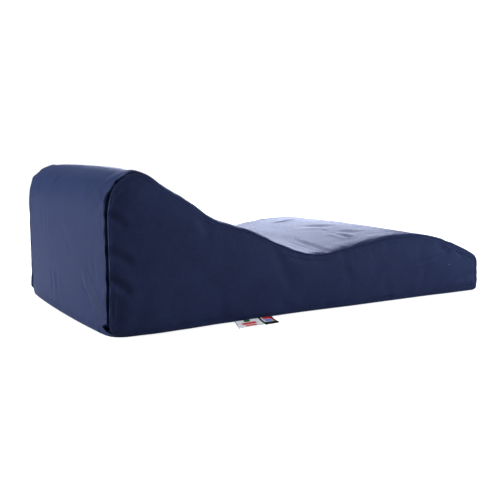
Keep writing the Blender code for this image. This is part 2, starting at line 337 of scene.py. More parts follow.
def side_outline():
    """The closed outline of a side, anticlockwise seen from -Y: along, height and seam inset."""
    rows = np.array(OUTLINE_ROWS) * MM
    stretches = curve_through(rows, (0, 1, 0), (0, -1, 0))
    tall_corner = np.concatenate(stretches[:TALL_CORNER_ROW])
    top = np.concatenate(stretches[TALL_CORNER_ROW:LOW_CORNER_ROW])
    low_corner = np.concatenate(stretches[LOW_CORNER_ROW:])
    end_seam = rows[0, 2]
    tall_foot, low_foot = TALL_FOOT_RADIUS, LENGTH - LOW_FOOT_RADIUS
    base = np.concatenate([
        foot_arc(tall_foot, TALL_FOOT_RADIUS, 225, 270, BASE_SEAM_HEIGHT),
        foot_arc(low_foot, LOW_FOOT_RADIUS, 270, 315, BASE_SEAM_HEIGHT),
    ])
    low_arc = foot_arc(low_foot, LOW_FOOT_RADIUS, 315, 360, BASE_SEAM_HEIGHT)
    low_end = np.concatenate([low_arc, low_corner[::-1]])
    tall_arc = foot_arc(tall_foot, TALL_FOOT_RADIUS, 180, 225, end_seam)
    tall_end = np.concatenate([tall_corner[::-1], tall_arc])
    outline = np.concatenate([
        spread(base, ALONG_STEPS),
        spread(low_end, UP_STEPS),
        spread(top[::-1], ALONG_STEPS),
        spread(tall_end, UP_STEPS),
    ])
    foot = (outline[:, 0] < TALL_FOOT_RADIUS) & (outline[:, 1] < TALL_FOOT_SEAM[-1][0] * MM)
    heights, seams = np.array(TALL_FOOT_SEAM).T * MM
    outline[foot, 2] = np.interp(outline[foot, 1], heights, seams)
    return outline


def seam_share(outline, rows, at_base):
    """A value that follows the seam: from rows along the top edge, and one value at the base."""
    along, value = np.array(rows).T
    top = np.interp(outline[:, 0], along * MM, value)
    return at_base + (top - at_base) * ease((outline[:, 1] - 2 * MM) / (4 * MM))


def lean(along, height):
    """How strongly the side's top edge leans back at a place."""
    rows = np.array(LEAN_ROWS).T
    return np.interp(along, rows[0] * MM, rows[1]) * ease((height - 60 * MM) / (30 * MM))


def sway(along):
    """How far the foot of a side stands out at a place along the pillow."""
    rows = np.array(SWAY_ROWS) * MM
    index = np.clip(np.searchsorted(rows[:, 0], along) - 1, 0, len(rows) - 2)
    part = (along - rows[index, 0]) / (rows[index + 1, 0] - rows[index, 0])
    return rows[index, 1] + (rows[index + 1, 1] - rows[index, 1]) * ease(part)


def settle(along, height, out):
    """Where a point of the straight block lies once the filled cover has bulged, near side."""
    across = HALF_WIDTH + out
    open_share = 1 - np.minimum(across / HALF_WIDTH, 1) ** CROWN_POWER
    tall_share = np.exp(-np.maximum(along, 0) / END_CROWN_REACH)
    low_share = np.exp(-np.maximum(LENGTH - along, 0) / END_CROWN_REACH)
    x = along - LENGTH / 2
    x = x + open_share * (LOW_END_CROWN * low_share - TALL_END_CROWN * tall_share)
    y = across * (1 + sway(along) * (1 - ease(height / SWAY_HEIGHT)) / HALF_WIDTH)
    crown = TOP_CROWN + CREST_CROWN * np.exp(-((along / CREST_REACH) ** 2))
    z = height + crown * open_share * ease(height / TOP_CROWN_RISE)
    return np.stack([x, -y, z], -1)


def ring(outline, opened, groove, inward, row):
    """One ring before it is settled: along, height and how far out of the side's plane."""
    wide, fine = np.array(row[:3]), np.array(row[3:6])
    share, more, drop = (fine + (wide - fine) * opened[:, None]).T
    drop = drop + row[6] * groove * np.clip(1 - opened, 0, 1)
    inset = (outline[:, 2] * share + more * MM)[:, None]
    flat = outline[:, :2] + inward * inset
    back = lean(outline[:, 0], outline[:, 1]) * LEAN_DEPTH
    back *= np.exp(-np.maximum(more * MM - LIP_INSET, 0) / LEAN_REACH)
    back *= np.clip(1 - (drop - 8) / 30, 0, 1)
    return np.column_stack([flat, -drop * MM - back])


def panel_grid(border):
    """The side panel's points on a grid of columns and rows, blended from its border."""
    closed = np.concatenate([border[:, :2], border[:1, :2]])
    a, b, c = ALONG_STEPS, ALONG_STEPS + UP_STEPS, 2 * ALONG_STEPS + UP_STEPS
    base, low_end = closed[: a + 1], closed[a : b + 1]
    top, tall_end = closed[b : c + 1][::-1], closed[c:][::-1]
    s = (np.arange(ALONG_STEPS + 1) / ALONG_STEPS)[:, None, None]
    t = (np.arange(UP_STEPS + 1) / UP_STEPS)[None, :, None]
    between = base[:, None] * (1 - t) + top[:, None] * t
    between = between + tall_end[None] * (1 - s) + low_end[None] * s
    corners = (base[0] * (1 - s) + base[-1] * s) * (1 - t) + (top[0] * (1 - s) + top[-1] * s) * t
    return between - corners


def rim_order():
    """Indices of the panel grid's border vertices in the outline's order."""
    rows = UP_STEPS + 1
    base = [column * rows for column in range(ALONG_STEPS)]
    low_end = [ALONG_STEPS * rows + row for row in range(UP_STEPS)]
    top = [column * rows + UP_STEPS for column in range(ALONG_STEPS, 0, -1)]
    tall_end = [row for row in range(UP_STEPS, 0, -1)]
    return np.array(base + low_end + top + tall_end)


def pillow_surface():
    """Points, quads, cloth coordinates of each corner, and the ring indices of the whole cover."""
    outline = side_outline()
    before, after = np.roll(outline, 1, axis=0), np.roll(outline, -1, axis=0)
    inward = np.stack([before[:, 1] - after[:, 1], after[:, 0] - before[:, 0]], 1)
    inward /= np.linalg.norm(inward, axis=1)[:, None]

    opened = seam_share(outline, TOP_OPEN_ROWS, BASE_OPEN)
    groove = seam_share(outline, TOP_GROOVE_ROWS, BASE_GROOVE)
    rings = [ring(outline, opened, groove, inward, row) for row in HALF_ROWS]
    flat = panel_grid(rings[0])
    lip = outline[:, :2] + inward * (outline[:, 2:3] + LIP_INSET)
    away = np.linalg.norm(flat[:, :, None] - lip[None, None], axis=3).min(2)
    out = SIDE_CROWN * (1 - np.exp(-away / SIDE_CROWN_REACH)) - 0.3 * MM
    out -= LEAN_DEPTH * np.exp(-away / LEAN_REACH) * lean(flat[..., 0], flat[..., 1])
    grid = settle(flat[..., 0], flat[..., 1], out).reshape(-1, 3)

    mirror = np.array((1, -1, 1))
    half = [settle(*points.T) for points in rings[1:]]
    loops = half + [points * mirror for points in half[-2::-1]]
    count = len(outline)
    near_end = len(grid)
    far_start = near_end + len(loops) * count
    points = np.concatenate([grid] + loops + [grid * mirror])

    rim = rim_order()
    ring_rows = [rim]
    ring_rows += [near_end + number * count + np.arange(count) for number in range(len(loops))]
    ring_rows.append(far_start + rim)
    ring_rows = np.array(ring_rows)

    column, row = np.meshgrid(np.arange(ALONG_STEPS), np.arange(UP_STEPS), indexing="ij")
    first = (column * (UP_STEPS + 1) + row).ravel()
    step = UP_STEPS + 1
    near_faces = np.stack([first, first + step, first + step + 1, first + 1], 1)
    far_faces = near_faces[:, ::-1] + far_start
    strips = []
    for here, there in zip(ring_rows, ring_rows[1:]):
        strips.append(np.stack([here, there, np.roll(there, -1), np.roll(here, -1)], 1))
    faces = np.concatenate([near_faces, far_faces] + strips)

    # Cloth coordinates: a side panel is cut along and up, the strip along its path and across
    reached = np.append(0, np.cumsum(np.linalg.norm(after[:, :2] - outline[:, :2], axis=1)))
    panel_uv = np.column_stack([points[:, 0], points[:, 2]])
    corners = [panel_uv[near_faces], panel_uv[far_faces] + (2.0, 0.0)]
    last = len(ring_rows) - 1
    for number, (here, there) in enumerate(zip(ring_rows, ring_rows[1:])):
        if number < CHANNEL_RING:
            corners.append(panel_uv[strips[number]])
        elif number >= last - CHANNEL_RING:
            corners.append(panel_uv[strips[number]] + (2.0, 0.0))
        else:
            along, ahead = reached[:-1], reached[1:]
            here_y, there_y = points[here, 1], points[there, 1]
            u = np.stack([along, along, ahead, ahead], 1)
            v = np.stack([here_y, there_y, np.roll(there_y, -1), np.roll(here_y, -1)], 1)
            corners.append(np.stack([u + 4.0, v], 2))
    return points, faces, np.concatenate(corners), ring_rows


def ring_ranks(count, ring_rows):
    """How many rings each vertex lies past the nearer seam's channel, below 0 on the side panels."""
    ranks = np.full(count, -CHANNEL_RING, float)
    last = len(ring_rows) - 1
    for number, row in enumerate(ring_rows):
        ranks[row] = min(number, last - number) - CHANNEL_RING
    return ranks


def mesh_of(name, points, faces, corner_uv):
    mesh = bpy.data.meshes.new(name)
    mesh.from_pydata(points.tolist(), [], faces.tolist())
    layer = mesh.uv_layers.new(name="cloth")
    layer.uv.foreach_set("vector", np.asarray(corner_uv, np.float32).ravel())
    mesh.shade_smooth()
    mesh.update()
    return mesh


def add_piece(name, mesh):
    piece = bpy.data.objects.new(name, mesh)
    bpy.context.scene.collection.objects.link(piece)
    return piece


def places(mesh):
    found = np.empty(len(mesh.vertices) * 3, np.float32)
    mesh.vertices.foreach_get("co", found)
    return found.reshape(-1, 3).astype(float)


def normals(mesh):
    found = np.empty(len(mesh.vertices) * 3, np.float32)
    mesh.vertex_normals.foreach_get("vector", found)
    return found.reshape(-1, 3).astype(float)


def ranks_of(mesh):
    found = np.empty(len(mesh.vertices), np.float32)
    mesh.attributes["rank"].data.foreach_get("value", found)
    return found.astype(float)


def set_places(mesh, points):
    mesh.vertices.foreach_set("co", points.astype(np.float32).ravel())
    mesh.update()


def tighten(piece):
    """Lets the cover move over its foam as cloth, held at its seams and its base."""
    mesh = piece.data
    start, facing, rank = places(mesh), normals(mesh), ranks_of(mesh)
    held = np.where(np.abs(rank) < HELD_RINGS, 1.0, FOAM_HOLD)
    held[start[:, 2] < 6 * MM] = 1
    seam_away = HALF_WIDTH - np.abs(start[:, 1])
    loose = np.where(rank > 0, ease(seam_away / (40 * MM)), ease((-rank - 3) / 5))
    loose *= ease((start[:, 2] - 6 * MM) / (25 * MM))
    set_places(mesh, start - facing * (CLOTH_START_INSET * loose)[:, None])
    group = piece.vertex_groups.new(name="held")
    for weight in np.unique(held):
        group.add(np.flatnonzero(held == weight).tolist(), float(weight), "REPLACE")

    begun = places(mesh)
    cloth = piece.modifiers.new("cover", "CLOTH")
    cloth.settings.vertex_group_mass = "held"
    cloth.settings.pin_stiffness = 0.6
    cloth.settings.quality = 4
    cloth.settings.mass = 0.25
    cloth.settings.tension_stiffness = 18
    cloth.settings.compression_stiffness = 18
    cloth.settings.shear_stiffness = 6
    cloth.settings.bending_stiffness = 0.25
    cloth.settings.shrink_min = CLOTH_SPARE
    cloth.settings.use_pressure = True
    cloth.settings.uniform_pressure_force = 4
    cloth.settings.effector_weights.gravity = 0
    cloth.collision_settings.use_collision = False
    cloth.collision_settings.use_self_collision = False
    scene = bpy.context.scene
    for number in range(1, CLOTH_FRAMES + 1):
        scene.frame_set(number)
    worn = piece.evaluated_get(bpy.context.evaluated_depsgraph_get())
    moved = places(worn.data) - begun
    piece.modifiers.remove(cloth)
    piece.vertex_groups.remove(group)
    scene.frame_set(1)
    size = np.linalg.norm(moved, axis=1)[:, None]
    moved *= CLOTH_CAP * np.tanh(size / CLOTH_CAP) / np.maximum(size, 1e-9)
    moved[held == 1] = 0
    set_places(mesh, begun + moved)


def subdivide(piece):
    """One subdivision, applied."""
    modifier = piece.modifiers.new("finer", "SUBSURF")
    modifier.levels = 1
    modifier.render_levels = 1
    finer = bpy.data.meshes.new_from_object(
        piece.evaluated_get(bpy.context.evaluated_depsgraph_get())
    )
    piece.modifiers.remove(modifier)
    old = piece.data
    finer.name = old.name
    piece.data = finer
    bpy.data.meshes.remove(old)


def fold_path(points):
    """A smooth path through a fold's few points."""
    rows = [Vector(point).to_3d() for point in points]
    rows = [rows[0] * 2 - rows[1]] + rows + [rows[-1] * 2 - rows[-2]]
    path = []
    for before, start, end, after in zip(rows, rows[1:], rows[2:], rows[3:]):
        for step in range(FOLD_STEPS):
            t = step / FOLD_STEPS
            path.append(
                0.5 * (2 * start + (end - before) * t
                       + (2 * before - 5 * start + 4 * end - after) * t**2
                       + (3 * start - before - 3 * end + after) * t**3)
            )
    path.append(rows[-2])
    return np.array([point.xy for point in path]) * MM


def face_shares(points, facing):
    """How far each vertex belongs to each face, and its two coordinates there."""
    along = points[:, 0] + LENGTH / 2
    low_part = ease((facing[:, 0] - 0.45) / 0.4)
    tall_part = ease((-facing[:, 0] - 0.45) / 0.4)
    rising = ease((facing[:, 2] - 0.1) / 0.5)
    return {
        "near": (ease((-facing[:, 1] - 0.5) / 0.4), np.stack([along, points[:, 2]], 1)),
        "far": (ease((facing[:, 1] - 0.5) / 0.4), np.stack([along, points[:, 2]], 1)),
        "tall": (tall_part * (along < 0.1), points[:, 1:]),
        "low": (low_part * (along > 0.5), points[:, 1:]),
        "top": (rising, np.stack([along, points[:, 1]], 1)),
    }


def fold_depth(fold, spots):
    """How deep a fold presses each of some places in."""
    path = fold_path(fold.points)
    starts, runs = path[:-1], np.diff(path, axis=0)
    lengths = np.linalg.norm(runs, axis=1)
    reached = np.append(0, np.cumsum(lengths))
    to_spot = spots[:, None] - starts[None]
    part = np.clip((to_spot * runs).sum(2) / lengths**2, 0, 1)
    away = np.linalg.norm(to_spot - runs * part[..., None], axis=2)
    nearest = away.argmin(1)
    rows = np.arange(len(spots))
    distance = away[rows, nearest] / (fold.width * MM)
    share = (reached[nearest] + part[rows, nearest] * lengths[nearest]) / reached[-1]
    grown = ease((1 - share) / 0.45)
    if not fold.rooted:
        grown = grown * ease(share / 0.35)
    profile = np.exp(-distance**2) - FOLD_RIM * np.exp(-((distance - 2.1) / 0.9) ** 2)
    return profile * grown * fold.depth * MM


def press_folds(mesh):
    """Presses every fold in the table into the cover."""
    points, facing = places(mesh), normals(mesh)
    shares = face_shares(points, facing)
    depth = np.zeros(len(points))
    for fold in FOLDS:
        share, spots = shares[fold.face]
        box = np.array(fold.points) * MM
        room = 4.5 * fold.width * MM
        inside = (share > 0.001) & (spots > box.min(0) - room).all(1)
        inside &= (spots < box.max(0) + room).all(1)
        depth[inside] += fold_depth(fold, spots[inside]) * share[inside]
    return points - facing * depth[:, None], facing


def unevenness(points):
    """Slow and quick waves in the cover, in metres along its normal."""
    waves = np.empty(len(points))
    for index, point in enumerate(points):
        slow = noise.noise(Vector(point) * 14 + Vector((3.1, 7.7, 1.3)))
        quick = noise.noise(Vector(point) * 42 + Vector((9.2, 0.4, 5.5)))
        waves[index] = 0.4 * slow + 0.12 * quick
    return waves * MM


def seam_gather(points, ring_rows, count):
    """Small gathers beside the seams: how far each vertex is moved along its normal."""
    reach = 13 * MM
    gather = np.zeros(count)
    path = points[ring_rows[CHANNEL_RING]]
    far_path = points[ring_rows[-1 - CHANNEL_RING]]
    for side, seam in (("near", path), ("far", far_path)):
        steps = np.linalg.norm(np.diff(seam, axis=0, append=seam[:1]), axis=1)
        reached = np.append(0, np.cumsum(steps))[:-1]
        offset = 0.0 if side == "near" else 40.0
        wave = [noise.noise(Vector((offset + arc * 95, 0.5, 0.5))) for arc in reached]
        wave = np.array(wave) * (0.6 + 0.4 * np.sin(reached * 9 + offset))
        same = np.sign(points[:, 1]) == np.sign(seam[0, 1])
        close = np.flatnonzero(same & (np.abs(points[:, 1]) > HALF_WIDTH - 2 * reach))
        for chunk in np.array_split(close, 40):
            away = np.linalg.norm(points[chunk, None] - seam[None], axis=2)
            nearest = away.argmin(1)
            distance = away[np.arange(len(chunk)), nearest]
            fade = (distance / (4 * MM)) * np.exp(1 - distance / (4 * MM))
            gather[chunk] = wave[nearest] * fade * 0.35 * MM
    return gather


def cut_finer(mesh):
    """Halves the faces at the near bottom corner of the tall end, where the deep pucker lies."""
    work = bmesh.new()
    work.from_mesh(mesh)
    edges = [
        edge for edge in work.edges
        if all(inside_corner(vertex.co) for vertex in edge.verts)
    ]
    bmesh.ops.subdivide_edges(work, edges=edges, cuts=1, use_grid_fill=True)
    work.to_mesh(mesh)
    work.free()
    mesh.update()


def inside_corner(place):
    return place.x < -0.27 and -0.18 < place.y < -0.12 and 0.0005 < place.z < 0.045


def press_pucker(points, rank):
    """The deep pucker where the strip's edge tucks in beside the tall end's bottom corner."""
    path = fold_path(PUCKER_POINTS)
    spots = points[:, 1:]
    starts, runs = path[:-1], np.diff(path, axis=0)
    near = np.flatnonzero((points[:, 0] < -0.27) & (points[:, 1] < -0.12) & (points[:, 2] < 0.05))
    to_spot = spots[near, None] - starts[None]
    part = np.clip((to_spot * runs).sum(2) / (runs**2).sum(1), 0, 1)
    away = np.linalg.norm(to_spot - runs * part[..., None], axis=2)
    nearest = away.argmin(1)
    share = (nearest + part[np.arange(len(near)), nearest]) / len(runs)
    width = PUCKER_WIDTHS[0] + (PUCKER_WIDTHS[1] - PUCKER_WIDTHS[0]) * share**PUCKER_TAPER
    depth = PUCKER_DEPTH * np.exp(-(away.min(1) / width) ** 4) * ease((rank[near] + 1) / 2.5)
    depth *= 1 - 0.4 * share
    points[near] += np.array(PUCKER_HEADING) * depth[:, None]


def round_corners(points):
    """Rounds the tall end's two bottom corners in plan."""
    radius = np.where(points[:, 1] < 0, *CORNER_RADII)
    from_end = radius - (points[:, 0] + LENGTH / 2)
    from_side = radius - (HALF_WIDTH - np.abs(points[:, 1]))
    reach = np.hypot(from_end, from_side)
    beyond = np.where((from_end > 0) & (from_side > 0), reach - radius, 0)
    beyond = np.maximum(beyond, 0) * np.clip(1 - points[:, 2] / CORNER_HEIGHT, 0, 1) ** 1.5
    pull = beyond / np.maximum(reach, MM)
    points[:, 0] += from_end * pull
    points[:, 1] -= np.sign(points[:, 1]) * from_side * pull


def thin_base(mesh):
    """Joins the flat base's faces into one."""
    work = bmesh.new()
    work.from_mesh(mesh)
    flat = [
        face for face in work.faces
        if all(
            vertex.co.z < 0.001 * MM
            and abs(vertex.co.y) < HALF_WIDTH - BASE_MARGIN
            and abs(vertex.co.x) < LENGTH / 2 - BASE_MARGIN
            for vertex in face.verts
        )
    ]
    bmesh.ops.dissolve_faces(work, faces=flat, use_verts=True)
    work.to_mesh(mesh)
    work.free()
    mesh.update()


def build_pillow():
    points, faces, corner_uv, ring_rows = pillow_surface()
    mesh = mesh_of("pillow_cover", points, faces, corner_uv)
    ranks = mesh.attributes.new("rank", "FLOAT", "POINT")
    ranks.data.foreach_set("value", ring_ranks(len(points), ring_rows).astype(np.float32))
    piece = add_piece("pillow_cover", mesh)
    tighten(piece)
    subdivide(piece)
    mesh = piece.data
    cut_finer(mesh)
    moved, facing = press_folds(mesh)
    press_pucker(moved, ranks_of(mesh))
    round_corners(moved)
    lift = unevenness(moved) + seam_gather(moved, ring_rows, len(moved))
    lift *= ease(moved[:, 2] / (25 * MM))
    moved += facing * lift[:, None]
    moved[:, 2] = np.maximum(moved[:, 2], 0)
    set_places(mesh, moved)
    near_seam, far_seam = moved[ring_rows[CHANNEL_RING]], moved[ring_rows[-1 - CHANNEL_RING]]
    mesh.attributes.remove(mesh.attributes["rank"])
    thin_base(mesh)
    mesh.shade_smooth()
    return piece, near_seam, far_seam


# Stitches


def stitch_shape():
    """Points and faces of one stitch that lies along +X, with +Z out of the seam."""
    stations = ((-0.36, 0.75), (-0.18, 1.0), (0.18, 1.0), (0.36, 0.75))
    points = [(-0.5, 0, 0)]
    for along, size in stations:
        for side in range(STITCH_SIDES):
            angle = 2 * math.pi * side / STITCH_SIDES
            points.append((along, math.cos(angle) * size, math.sin(angle) * size))
    points.append((0.5, 0, 0))
    faces = []
    last = len(points) - 1
    for side in range(STITCH_SIDES):
        after = (side + 1) % STITCH_SIDES
        faces.append((0, 1 + after, 1 + side))
        for station in range(len(stations) - 1):
            low, high = 1 + station * STITCH_SIDES, 1 + (station + 1) * STITCH_SIDES
            faces.append((low + side, low + after, high + after, high + side))
        top = 1 + (len(stations) - 1) * STITCH_SIDES
        faces.append((last, top + side, top + after))
    scale = np.array((STITCH_LENGTH, STITCH_RADIUS, STITCH_RADIUS))
    return np.array(points) * scale, faces


def build_stitches(seams):
    """The seams' thread, as one piece of short stitches down in the channels."""
    shape, shape_faces = stitch_shape()
    points, faces, uv = [], [], []
    for seam in seams:
        closed = np.concatenate([seam, seam[:1]])
        reached = np.append(0, np.cumsum(np.linalg.norm(np.diff(closed, axis=0), axis=1)))
        count = int(reached[-1] / STITCH_PITCH)
        out = Vector((0, math.copysign(1, seam[0, 1]), 0))
        for number in range(count):
            goals = (number + np.array((0.0, 0.5, 1.0))) / count * reached[-1]
            start, middle, end = (
                Vector([np.interp(goal, reached, closed[:, axis]) for axis in range(3)])
                for goal in goals
            )
            forward = (end - start).normalized()
            side = out.cross(forward).normalized()
            turn = Matrix((forward, side, forward.cross(side))).transposed()
            base = len(points)
            centre = middle - out * 0.3 * MM
            points += [tuple(centre + turn @ Vector(point)) for point in shape]
            for face in shape_faces:
                faces.append(tuple(base + corner for corner in face))
                uv += [(shape[corner][0] + number * STITCH_PITCH, shape[corner][1])
                       for corner in face]
    mesh = bpy.data.meshes.new("seam_stitches")
    mesh.from_pydata(points, [], faces)
    layer = mesh.uv_layers.new(name="cloth")
    layer.uv.foreach_set("vector", np.array(uv, np.float32).ravel())
    mesh.shade_smooth()
    mesh.update()
    return add_piece("seam_stitches", mesh)


# Labels


def ribbon_path(label):
    """Middle of the folded ribbon: out from the seam, height, under layer first."""
    fold_radius = (LABEL_LAYER_GAP + RIBBON_THICKNESS) / 2
    run = label.reach - fold_radius - RIBBON_THICKNESS / 2
    share = np.linspace(0, 1, LABEL_DOWN_STEPS)
    out = run * share
    under = LABEL_ROOT_HEIGHT * (1 - ease(out / LABEL_DROP_LENGTH)) + RIBBON_THICKNESS / 2
    angles = np.radians(np.linspace(-75, 75, 7))
    turn_out = run + fold_radius * np.cos(angles)
    turn_up = RIBBON_THICKNESS / 2 + fold_radius * (1 + np.sin(angles))
    over = under + 2 * fold_radius
    return (
        np.concatenate([out, turn_out, out[::-1]]),
        np.concatenate([under, turn_up, over[::-1]]),
    )


def build_label(label):
    """A woven ribbon, folded once at its outer edge, with its two ends in the bottom seam."""
    out, up = ribbon_path(label)
    steps = np.hypot(np.diff(out), np.diff(up))
    reached = np.append(0, np.cumsum(steps))
    heading = np.stack([np.gradient(out), np.gradient(up)], 1)
    heading /= np.linalg.norm(heading, axis=1)[:, None]
    sideways = np.stack([heading[:, 1], -heading[:, 0]], 1)
    share = np.linspace(0, 1, LABEL_ACROSS_STEPS)
    left_lift, right_lift = label.lift
    width = label.end - label.start
    layers = []
    for layer_side in (1, -1):
        layer_out = out + sideways[:, 0] * layer_side * RIBBON_THICKNESS / 2
        layer_up = up + sideways[:, 1] * layer_side * RIBBON_THICKNESS / 2
        grid = []
        for across in share:
            root = settle(
                np.array([label.start + width * across]), np.array([LABEL_ROOT_HEIGHT]), np.zeros(1)
            )[0]
            down = layer_out / label.reach
            curl = ease((down - 0.45) / 0.55)
            lift = left_lift * (1 - across) ** 3 + right_lift * across**3
            wave = 0.16 * MM * math.sin(across * 7 + label.start * 90) * ease(down * 3)
            left = (1 - across) ** 4
            bow = label.bow * np.clip(down, 0, 1) ** 2 * left
            tip = label.tip * ease((down - 0.3) / 0.7) * (1 - across) ** 9
            grid.append(np.stack([
                root[0] + label.lean * down + bow,
                root[1] - PIECE_GAP - layer_out - tip,
                np.maximum(layer_up + curl * lift + np.maximum(wave, 0), 0.02 * MM),
            ], 1))
        layers.append(np.array(grid))
    outer, inner = layers
    columns, rows = outer.shape[:2]
    points = np.concatenate([outer.reshape(-1, 3), inner.reshape(-1, 3)])
    half = columns * rows

    def at(layer, column, row):
        return layer * half + column * rows + row

    faces, uv = [], []
    flat = [(across * width, length) for across in share for length in reached]
    for column in range(columns - 1):
        for row in range(rows - 1):
            quad = [(column, row), (column + 1, row), (column + 1, row + 1), (column, row + 1)]
            faces.append([at(0, *corner) for corner in quad])
            faces.append([at(1, *corner) for corner in quad[::-1]])
    for column in range(columns - 1):
        for row, flip in ((0, False), (rows - 1, True)):
            edge = [at(0, column, row), at(1, column, row), at(1, column + 1, row),
                    at(0, column + 1, row)]
            faces.append(edge[::-1] if flip else edge)
    for row in range(rows - 1):
        for column, flip in ((0, True), (columns - 1, False)):
            edge = [at(0, column, row), at(1, column, row), at(1, column, row + 1),
                    at(0, column, row + 1)]
            faces.append(edge[::-1] if flip else edge)
    for face in faces:
        uv += [flat[corner % half] for corner in face]
    mesh = bpy.data.meshes.new(label.name + "_ribbon")
    mesh.from_pydata(points.tolist(), [], faces)
    layer = mesh.uv_layers.new(name="cloth")
    layer.uv.foreach_set("vector", np.array(uv, np.float32).ravel())
    mesh.shade_smooth()
    mesh.update()
    return add_piece(label.name + "_ribbon", mesh), reached[-1]


# Materials


class Recipe:
    """A material's nodes, put in one at a time."""

    def __init__(self, name):
        self.material = bpy.data.materials.new(name)
        self.material.use_nodes = True
        self.tree = self.material.node_tree
        self.shader = self.tree.nodes["Principled BSDF"]

    def put(self, kind, *inputs, **settings):
        """Adds a node. Inputs are values, sockets, or None to leave one as it is."""
        node = self.tree.nodes.new("ShaderNode" + kind)
        for name, value in settings.items():
            setattr(node, name, value)
        for socket, value in zip(node.inputs, inputs):
            if value is None:
                continue
            if isinstance(value, bpy.types.NodeSocket):
                self.tree.links.new(value, socket)
            else:
                socket.default_value = value
        return node

    def math(self, operation, *inputs):
        return self.put("Math", *inputs, operation=operation).outputs[0]

    def noise(self, place, scale, detail=2.0, roughness=0.5):
        """A noise value from 0 to 1."""
        node = self.put("TexNoise", place)
        node.inputs["Scale"].default_value = scale
        node.inputs["Detail"].default_value = detail
        node.inputs["Roughness"].default_value = roughness
        return node.outputs["Fac"]

    def stretch(self, place, scale):
        node = self.put("Mapping", place)
        node.inputs["Scale"].default_value = scale
        return node.outputs[0]

    def fit(self, value, low, high, new_low, new_high):
        node = self.put("MapRange", value, low, high, new_low, new_high)
        return node.outputs[0]

    def mix(self, share, first, second):
        node = self.put("Mix", data_type="RGBA")
        sockets = (node.inputs["Factor"], *[s for s in node.inputs if s.name in "AB" and
                                            s.type == "RGBA"])
        for socket, value in zip(sockets, (share, first, second)):
            if isinstance(value, bpy.types.NodeSocket):
                self.tree.links.new(value, socket)
            else:
                socket.default_value = value
        return next(s for s in node.outputs if s.type == "RGBA")

    def bump(self, height, strength, distance, below=None):
        node = self.put("Bump")
        node.inputs["Strength"].default_value = strength
        node.inputs["Distance"].default_value = distance
        self.tree.links.new(height, node.inputs["Height"])
        if below is not None:
            self.tree.links.new(below, node.inputs["Normal"])
        return node.outputs["Normal"]

    def link(self, socket, name):
        self.tree.links.new(socket, self.shader.inputs[name])

    def set(self, name, value):
        self.shader.inputs[name].default_value = value


def cover_material():
    recipe = Recipe("navy_cover_cloth")
    place = recipe.put("UVMap", uv_map="cloth").outputs[0]
    parts = recipe.put("SeparateXYZ", place).outputs
    threads = 2 * math.pi / (1.1 * MM)
    warp = recipe.math("SINE", recipe.math("MULTIPLY", parts[0], threads))
    weft = recipe.math("SINE", recipe.math("MULTIPLY", parts[1], threads))
    weave = recipe.math("MULTIPLY", warp, weft)
    warp_streaks = recipe.noise(recipe.stretch(place, (1, 0.05, 1)), 1500, 2)
    weft_streaks = recipe.noise(recipe.stretch(place, (0.05, 1, 1)), 1500, 2)
    streaks = recipe.math("ADD", warp_streaks, weft_streaks)
    mottle = recipe.noise(place, 26, 4, 0.6)
    grain = recipe.noise(place, 420, 3, 0.65)

    tone = recipe.math("ADD", recipe.fit(mottle, 0.3, 0.7, -0.22, 0.22),
                       recipe.fit(streaks, 0.7, 1.3, -0.38, 0.38))
    tone = recipe.math("ADD", tone, recipe.fit(grain, 0.3, 0.7, -0.26, 0.26))
    tone = recipe.math("ADD", tone, recipe.math("MULTIPLY", weave, 0.12))
    share = recipe.fit(tone, -0.8, 0.8, 0.0, 1.0)
    dark, light = (0.0088, 0.0121, 0.0325, 1), (0.0182, 0.025, 0.0675, 1)
    colour = recipe.mix(share, dark, light)

    cell = recipe.put("TexVoronoi", place)
    cell.inputs["Scale"].default_value = 60
    near_centre = recipe.fit(cell.outputs["Distance"], 0.026, 0.044, 1.0, 0.0)
    chance = recipe.put("SeparateXYZ", cell.outputs["Color"]).outputs[0]
    lint = recipe.math("MULTIPLY", near_centre, recipe.math("LESS_THAN", chance, 0.3))
    colour = recipe.mix(recipe.math("MULTIPLY", lint, 0.4), colour, (0.42, 0.46, 0.56, 1))
    recipe.link(colour, "Base Color")

    recipe.link(recipe.fit(grain, 0.3, 0.7, 0.42, 0.54), "Roughness")
    rough = recipe.bump(grain, 0.28, 0.35 * MM)
    rough = recipe.bump(mottle, 0.5, 1.2 * MM, rough)
    recipe.link(recipe.bump(weave, 0.5, 0.09 * MM, rough), "Normal")
    recipe.set("Specular IOR Level", 0.033)
    recipe.set("Sheen Weight", 0.024)
    recipe.set("Sheen Roughness", 0.5)
    recipe.set("Sheen Tint", (0.4, 0.55, 1.0, 1))
    return recipe.material


def thread_material():
    recipe = Recipe("navy_thread")
    place = recipe.put("UVMap", uv_map="cloth").outputs[0]
    parts = recipe.put("SeparateXYZ", place).outputs
    twist = recipe.math("ADD", recipe.math("MULTIPLY", parts[0], 9000),
                        recipe.math("MULTIPLY", parts[1], 6000))
    ply = recipe.math("SINE", twist)
    fuzz = recipe.noise(place, 900)
    share = recipe.math("ADD", recipe.fit(ply, -1.0, 1.0, 0.0, 0.6),
                        recipe.fit(fuzz, 0.3, 0.7, 0.0, 0.4))
    recipe.link(recipe.mix(share, (0.008, 0.011, 0.03, 1), (0.02, 0.027, 0.07, 1)), "Base Color")
    recipe.link(recipe.fit(fuzz, 0.3, 0.7, 0.5, 0.62), "Roughness")
    recipe.link(recipe.bump(ply, 0.5, 0.08 * MM), "Normal")
    recipe.set("Specular IOR Level", 0.06)
    return recipe.material


def band(recipe, value, low, high, soft=0.25 * MM):
    """1 between two values and 0 outside them."""
    rise = recipe.fit(value, low - soft, low + soft, 0.0, 1.0)
    fall = recipe.fit(value, high - soft, high + soft, 1.0, 0.0)
    return recipe.math("MULTIPLY", rise, fall)


